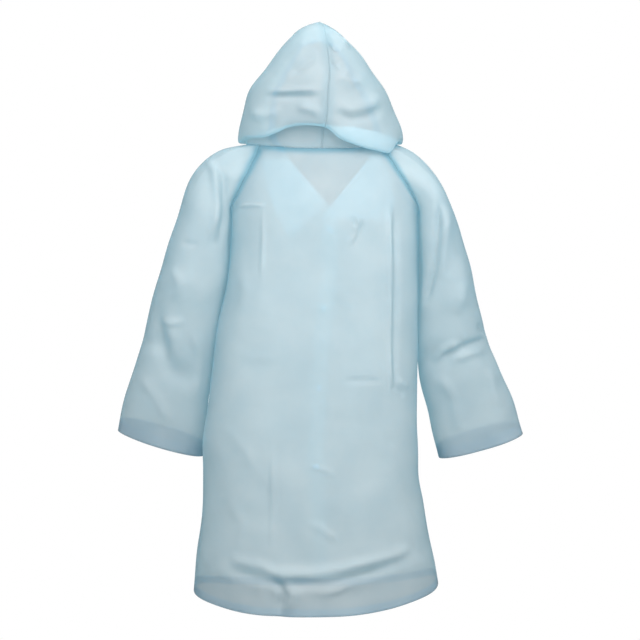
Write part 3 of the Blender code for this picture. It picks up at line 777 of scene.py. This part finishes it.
sleeve_grids = {}
for side in ("left", "right"):
    grid = sleeve_rows(side)
    arm_middle = Vector(grid[SLEEVE_MIDDLE_ROW].mean(axis=0))
    sleeve_grids[side], weld = finished_film(grid, arm_middle, ("top",), SLEEVE_CREASES[side],
                                             closed=True)
    sleeve = film_piece("sleeve_panel_" + side, sleeve_grids[side], arm_middle, panel_film,
                        weld=weld, closed=True)
    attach(sleeve, "root")
    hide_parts(*("sleeve_%s_%s" % (side, part) for part in ("shoulder", "arm", "forearm")))


# ---------------------------------------------------------------- hood
# Two halves of the film, welded over the crown and down the back, and to the neck seam. The hood is
# up and empty: it stands to a soft peak and sags over the neck in a roll.

# Sections of the hood in metres, from neck to crown: its back, side and front, half its width, the
# middle's shift in X, and how square it is.
HOOD = Table(
    "along back_y back_z half side_z front_y front_z centre square",
    (0.00, -0.082, -0.006, 0.1280, 0.008, 0.083, 0.000, 0.003, 2.0),
    (0.07, -0.083, 0.014, 0.1310, 0.013, 0.088, 0.014, 0.002, 2.0),
    (0.13, -0.087, 0.032, 0.1370, 0.010, 0.092, 0.026, 0.001, 2.1),
    (0.18, -0.101, 0.038, 0.1400, 0.012, 0.096, 0.034, 0.000, 2.1),
    (0.23, -0.116, 0.042, 0.1410, 0.020, 0.100, 0.042, 0.000, 2.1),
    (0.30, -0.124, 0.056, 0.1385, 0.038, 0.105, 0.058, 0.000, 2.1),
    (0.42, -0.128, 0.088, 0.1280, 0.068, 0.112, 0.088, -0.001, 2.1),
    (0.54, -0.126, 0.118, 0.1150, 0.099, 0.117, 0.116, -0.003, 2.1),
    (0.66, -0.116, 0.148, 0.0940, 0.128, 0.121, 0.143, -0.003, 2.0),
    (0.78, -0.098, 0.175, 0.0740, 0.156, 0.123, 0.166, -0.003, 2.0),
    (0.88, -0.078, 0.194, 0.0530, 0.180, 0.124, 0.184, -0.004, 2.0),
    (0.95, -0.060, 0.204, 0.0360, 0.196, 0.125, 0.194, -0.005, 2.0),
    (1.00, -0.046, 0.209, 0.0000, 0.207, 0.125, 0.199, 0.000, 2.0),
)
# Where the seam runs, and how many degrees round from the back's middle the face edges lie.
HOOD_EDGES = Table(
    "along seam_x left_face right_face",
    (0.00, 0.003, 151, 134),
    (0.23, 0.008, 148, 138),
    (0.54, 0.014, 143, 141),
    (0.80, 0.010, 141, 141),
    (1.00, 0.000, 140, 140),
)
# How low the roll's edge hangs across the back, the part of the rows that hang with it, and how
# near the sides it has faded.
ROLL = Table(
    "x edge_z",
    (-0.120, 0.014),
    (-0.090, 0.012),
    (-0.070, 0.017),
    (-0.050, 0.024),
    (0.000, 0.026),
    (0.016, 0.021),
    (0.030, 0.009),
    (0.050, -0.001),
    (0.075, -0.009),
    (0.110, -0.012),
)
ROLL_FROM, ROLL_FULL, ROLL_END = 0.125, 0.205, 0.42
ROLL_SIDES = 0.22
HOOD_ROWS = 150
HOOD_COLUMNS = 91
CROWN_HALF = 0.004
SEAM_REACH = 0.9


def hood_point(along, turn):
    """Point of the hood. turn is 0 in the middle of the back, pi/2 at the right, pi in front."""
    if along <= 0:
        face = -1 if abs(turn) <= pi / 2 else 1
        own = turn if face < 0 else copysign(pi - abs(turn), turn)
        return body_point(face, own, neck_z(face, own))
    power = 2 / HOOD.read("square", along)
    before = abs(turn) > pi / 2
    end_y = HOOD.read("front_y" if before else "back_y", along)
    end_z = HOOD.read("front_z" if before else "back_z", along)
    x = HOOD.read("centre", along) + HOOD.read("half", along) * signed_power(sin(turn), power)
    y = end_y * abs(cos(turn)) ** power
    z = blend(end_z, HOOD.read("side_z", along), sin(turn) ** 2)
    if not before:
        hangs = min(smooth((along - ROLL_FROM) / (ROLL_FULL - ROLL_FROM)),
                    smooth((ROLL_END - along) / (ROLL_END - ROLL_FULL)))
        edge_z = blend(HOOD.read("back_z", ROLL_FULL), HOOD.read("side_z", ROLL_FULL),
                       sin(turn) ** 2)
        sides = smooth((1 - abs(sin(turn))) / ROLL_SIDES)
        z -= max(edge_z - ROLL.read("edge_z", x), 0) * hangs * sides
    return Vector((x, y, z))


def hood_rows(side):
    """One half of the hood: from the centre seam round to the face edge, neck seam first."""
    rows = []
    for row in range(HOOD_ROWS + 1):
        along = row / HOOD_ROWS
        half = max(HOOD.read("half", along), CROWN_HALF)
        offset = HOOD_EDGES.read("seam_x", along) - HOOD.read("centre", along)
        seam = asin(max(min(offset / half, SEAM_REACH), -SEAM_REACH))
        face = SIGN[side] * radians(HOOD_EDGES.read(side + "_face", along))
        rows.append([hood_point(along, blend(seam, face, i / HOOD_COLUMNS))
                     for i in range(HOOD_COLUMNS + 1)])
    return np.array(rows)


# Creases in millimetres: folds down from the crown and across the middle, and the roll's own.
HOOD_CREASES = (
    dict(path=((4, 196), (24, 180), (50, 156)), wide=6.0, high=3.4),
    dict(path=((10, 172), (14, 162), (34, 152)), wide=5.0, high=-3.0),
    dict(path=((-92, 84), (-60, 82), (-20, 83), (8, 81)), wide=6.2, high=2.6),
    dict(path=((-88, 74), (-40, 73), (6, 71)), wide=6.0, high=-2.0),
    dict(path=((26, 48), (50, 36), (74, 42), (104, 58)), wide=8.5, high=-2.8),
    dict(path=((20, 64), (48, 52), (78, 60), (104, 78)), wide=11.0, high=3.0),
    dict(path=((26, 108), (50, 96), (78, 102)), wide=9.0, high=2.2),
    dict(path=((-74, 110), (-40, 136), (-10, 172)), wide=11.0, high=2.6),
    dict(path=((-52, 106), (-20, 128), (-6, 150)), wide=8.0, high=-1.8),
    dict(path=((-118, 52), (-90, 46), (-60, 52)), wide=9.0, high=2.6),
    dict(path=((-40, 58), (-10, 50), (6, 40)), wide=8.0, high=2.2),
    dict(path=((12, 132), (30, 126), (40, 110)), wide=7.0, high=-1.8),
)

# The hood's seams are narrow: film lies flat for less, and the doubled film shows less.
HOOD_SEAM_EASE = 0.012
HOOD_WELD = 0.3

head = Vector((0, 0, 0.08))
hood_grids = {}
for side in ("left", "right"):
    hood_grids[side], weld = finished_film(hood_rows(side), head, ("first", "top", "bottom"),
                                           {-1: HOOD_CREASES}, ease=HOOD_SEAM_EASE)
    hood = film_piece("hood_half_" + side, hood_grids[side], head, panel_film,
                      weld=weld * HOOD_WELD)
    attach(hood, "root")
    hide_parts("hood_" + side)


# ---------------------------------------------------------------- turned hems
# At the bottom, the cuffs and the face of the hood, the film is turned in and welded down flat. The
# doubled film is denser and bluer, so each hem shows as a darker band.

HEM_WIDTH = 0.013
CUFF_HEM_WIDTH = 0.020
HOOD_HEM_WIDTH = 0.015
HEM_STEP = 0.0012
HEM_STEPS = 5
# How much a hem's two edges look like a weld: the welded one above, the fold below.
HEM_WELD, HEM_FOLD = 1.0, 0.6

# The same EVA film, folded and welded to itself: denser and bluer to the eye.
hem_film = eva_film("welded_double_eva_film", face="#86a9b7", face_dark="#7c9fad", glow="#84c8dc",
                    clear="#cfe9f2", clear_share=0.40, glow_share=0.56, weld_colour="#7096a5")


def hem_strip(grid, width):
    """The last width of a grid's columns, before its bottom edge."""
    reach = np.linalg.norm(np.diff(grid, axis=0), axis=2)[::-1].cumsum(axis=0)[::-1]
    strip = []
    for step in range(HEM_STEPS + 1):
        wanted = width * (1 - step / HEM_STEPS)
        row = []
        for i in range(grid.shape[1]):
            lengths = np.append(reach[:, i], 0.0)
            j = int(np.searchsorted(-lengths, -wanted))
            j = min(max(j, 1), len(lengths) - 1)
            part = (lengths[j - 1] - wanted) / max(lengths[j - 1] - lengths[j], TINY)
            row.append(grid[j - 1, i] + (grid[j, i] - grid[j - 1, i]) * min(max(part, 0), 1))
        strip.append(row)
    return np.array(strip)


def hem_piece(name, strip, inside, node, closed=False):
    """Lays a hem against the inner side of its panel."""
    normals = outward_normals(strip, inside, closed)
    weld = np.zeros(strip.shape[:2])
    weld[0], weld[-1] = HEM_WELD, HEM_FOLD
    hem = film_piece(name, strip - normals * HEM_STEP, inside, hem_film, weld=weld, closed=closed)
    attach(hem, "root")
    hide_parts(node)
    return hem


low_middle = Vector((0, 0, -0.75))
back_hem = hem_piece("bottom_hem_back", hem_strip(back_grid, HEM_WIDTH), low_middle, "back_hem")
for side in ("left", "right"):
    hem_piece("bottom_hem_" + side, hem_strip(front_grids[side], HEM_WIDTH), low_middle,
              "front_" + side + "_hem")
    wrist = Vector(sleeve_grids[side][-1].mean(axis=0))
    hem_piece("cuff_band_" + side, hem_strip(sleeve_grids[side], CUFF_HEM_WIDTH), wrist,
              "cuff_hem_" + side, closed=True)
    face_edge = hood_grids[side].transpose(1, 0, 2)
    hem_piece("face_band_" + side, hem_strip(face_edge[:, :-1], HOOD_HEM_WIDTH), head,
              "hood_hem_" + side)


# ---------------------------------------------------------------- press studs
# Four press studs of moulded polypropylene close the fronts. Each is a round cap with a ring in its
# face on the outside, and a disc with a post inside, riveted through the laps of film.

STUD_HEIGHTS = (-0.130, -0.270, -0.410, -0.550)
# Outlines turned round the stud's axis: (radius, height) in metres.
CAP_PROFILE = ((0.0, 0.0019), (0.0022, 0.0019), (0.0030, 0.0014), (0.0040, 0.0014),
               (0.0048, 0.0019), (0.0056, 0.0017), (0.0060, 0.0010), (0.0060, 0.0))
POST_PROFILE = ((0.0, 0.0019), (0.0014, 0.0019), (0.0019, 0.0015), (0.0019, 0.0008),
                (0.0044, 0.0007), (0.0052, 0.0009), (0.0060, 0.0006), (0.0060, 0.0))
STUD_TURNS = 32
# How far from the front's surface cap and post begin: the cap stands on the right front's lap.
CAP_SEAT = 0.0046
POST_SEAT = 0.0019
NEAR_TURN, NEAR_Z = 0.02, 0.01
SWIRL_MM = 3.846

# Moulded polypropylene: milky, with a low gloss, and a faint swirl of 4 mm where it flowed.
moulded = bpy.data.materials.new("moulded_polypropylene")
tree = empty_tree(moulded)
place = (add_node(tree, "ShaderNodeTexCoord"), "Object")
swirl = add_node(tree, "ShaderNodeTexNoise", {"Vector": place, "Scale": 1000 / SWIRL_MM,
                                              "Detail": 2.0})
tint = add_node(tree, "ShaderNodeValToRGB", {"Fac": (swirl, "Fac")},
                stops=((0.35, "#93b7c7"), (0.65, "#a2c4d2")))
pitted = add_node(tree, "ShaderNodeBump", {"Height": (swirl, "Fac"), "Strength": 0.2,
                                           "Distance": 0.0002})
shine = add_node(tree, "ShaderNodeBsdfPrincipled",
                 {"Base Color": (tint, "Color"), "Roughness": 0.3, "IOR": 1.49,
                  "Subsurface Weight": 0.3, "Subsurface Scale": 0.002,
                  "Normal": (pitted, "Normal")})
add_node(tree, "ShaderNodeOutputMaterial", {"Surface": (shine, "BSDF")})


def turned_stud(name, profile, place, outward, node):
    """Half a stud, turned from its profile and closed underneath, standing outward on its place."""
    mesh = bmesh.new()
    line = [mesh.verts.new((radius, 0, height)) for radius, height in profile]
    edges = [mesh.edges.new(pair) for pair in zip(line, line[1:])]
    bmesh.ops.spin(mesh, geom=line + edges, cent=(0, 0, 0), axis=(0, 0, 1), angle=2 * pi,
                   steps=STUD_TURNS, use_merge=True)
    bmesh.ops.remove_doubles(mesh, verts=mesh.verts, dist=TOUCHING)
    rim = [edge for edge in mesh.edges if edge.is_boundary]
    bmesh.ops.contextual_create(mesh, geom=rim)
    bmesh.ops.recalc_face_normals(mesh, faces=mesh.faces)
    stud = add_piece(name, mesh, moulded)
    stud.location = place
    stud.rotation_euler = outward.to_track_quat("Z", "Y").to_euler()
    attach(stud, "root")
    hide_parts(node)


for number, z in enumerate(STUD_HEIGHTS, start=1):
    x = BODY.read("centre", z) + CLOSURE_X
    turn = turn_at(x, z)
    place = body_point(1, turn, z)
    across = body_point(1, turn + NEAR_TURN, z) - body_point(1, turn - NEAR_TURN, z)
    up = body_point(1, turn, z + NEAR_Z) - body_point(1, turn, z - NEAR_Z)
    outward = up.cross(across).normalized()
    outward *= copysign(1, outward.y)
    turned_stud("cap_%d" % number, CAP_PROFILE, place + outward * CAP_SEAT, outward,
                "stud_cap_%d" % number)
    turned_stud("post_%d" % number, POST_PROFILE, place - outward * POST_SEAT, -outward,
                "stud_post_%d" % number)


# ---------------------------------------------------------------- camera and studio
# The coat hangs filled out in a white studio, over a floor of white background paper. A broad soft
# light stands high on the camera's side, with a weaker one at each side and one above the coat.

camera = bpy.data.objects.new("camera", bpy.data.cameras.new("camera"))
camera.data.sensor_width = 36
camera.data.lens = 84.4
camera.location = (0, -2.55, -0.289)
camera.rotation_euler = (pi / 2, 0, 0)
bpy.context.scene.collection.objects.link(camera)
bpy.context.scene.camera = camera

# In the open the studio looks white. Seen through film it shows a painted shade instead, a mid grey
# blue that stands in for the unlit end of a studio.
PAINTED_SHADE_THROUGH_FILM = "#717f85"


def plain_backdrop(tree, lit, kind, light, output):
    """Lights the coat as lit does, but looks white in the open, and a painted grey blue shade where
    film lies before it.
    """
    ray = add_node(tree, "ShaderNodeLightPath")
    # Mask of the painted shade: rays that have passed through film on their way.
    painted_shade_mask = add_node(tree, "ShaderNodeMath", {0: (ray, "Transparent Depth"), 1: 0.5},
                      operation="GREATER_THAN")
    white = add_node(tree, kind, {"Color": linear("#ffffff"), "Strength": 1.0})
    # The painted shade: mid grey blue, shown where film lies before the backdrop.
    painted_shade = add_node(tree, kind, {"Color": linear(PAINTED_SHADE_THROUGH_FILM), "Strength": 1.0})
    even = add_node(tree, "ShaderNodeMixShader",
                    {"Fac": (painted_shade_mask, "Value"), 1: (white, light), 2: (painted_shade, light)})
    shown = add_node(tree, "ShaderNodeMixShader",
                     {"Fac": (ray, "Is Camera Ray"), 1: lit, 2: (even, "Shader")})
    add_node(tree, output, {"Surface": (shown, "Shader")})


# Background paper: it looks white and dead matt. The tone in which it lights the coat from below is
# grey, a little uneven from its pulp, whose clumps are drawn 13 mm wide.
FLOOR_Z = -1.1
FLOOR_HALF = 6.0
CLUMP_MM = 40 / 3

paper = bpy.data.materials.new("white_paper")
tree = empty_tree(paper)
clumps = add_node(tree, "ShaderNodeTexNoise", {"Scale": 2000 * FLOOR_HALF / CLUMP_MM,
                                               "Detail": 2.0})
tone = add_node(tree, "ShaderNodeValToRGB", {"Fac": (clumps, "Fac")},
                stops=((0.3, "#7b8083"), (0.7, "#858a8d")))
matt = add_node(tree, "ShaderNodeBsdfDiffuse", {"Color": (tone, "Color")})
# Seen through film, the paper shows the painted grey blue shade too.
plain_backdrop(tree, (matt, "BSDF"), "ShaderNodeEmission", "Emission", "ShaderNodeOutputMaterial")
mesh = bmesh.new()
bmesh.ops.create_grid(mesh, x_segments=2, y_segments=2, size=FLOOR_HALF)
floor = add_piece("floor", mesh, paper)
floor.location = (0, 0, FLOOR_Z)

LIT_PLACE = Vector((0, 0, -0.25))
for name, place, size, power in (
    ("key", (0.10, -1.30, 0.60), 1.2, 37),
    ("left_fill", (-1.4, -1.4, 0.1), 1.4, 17),
    ("right_fill", (1.4, -1.4, 0.1), 1.4, 24),
    ("top", (0.0, 0.30, 1.50), 1.2, 20),
):
    lamp = bpy.data.lights.new(name, "AREA")
    lamp.size, lamp.energy = size, power
    light = bpy.data.objects.new(name, lamp)
    light.location = place
    light.rotation_euler = (LIT_PLACE - Vector(place)).to_track_quat("-Z", "Y").to_euler()
    bpy.context.scene.collection.objects.link(light)

# The studio's walls: less light comes from beyond the coat than from the camera's side.
WALL_NEAR, WALL_BEYOND = 0.42, 0.10
WALL_TURN = 0.8

world = bpy.data.worlds.new("studio")
bpy.context.scene.world = world
tree = empty_tree(world)
toward = add_node(tree, "ShaderNodeTexCoord")
parts = add_node(tree, "ShaderNodeSeparateXYZ", {"Vector": (toward, "Generated")})
level = add_node(tree, "ShaderNodeMapRange",
                 {"Value": (parts, "Y"), "From Min": -WALL_TURN, "From Max": WALL_TURN,
                  "To Min": WALL_NEAR, "To Max": WALL_BEYOND})
walls = add_node(tree, "ShaderNodeBackground", {"Color": linear("#f8fbfb"),
                                                "Strength": (level, "Result")})
# Seen through film, the walls show the painted grey blue shade too.
plain_backdrop(tree, (walls, "Background"), "ShaderNodeBackground", "Background",
               "ShaderNodeOutputWorld")
bpy.context.scene.view_settings.view_transform = "Standard"
# A look through the coat passes up to a dozen films, each with two faces.
bpy.context.scene.cycles.transparent_max_bounces = 24
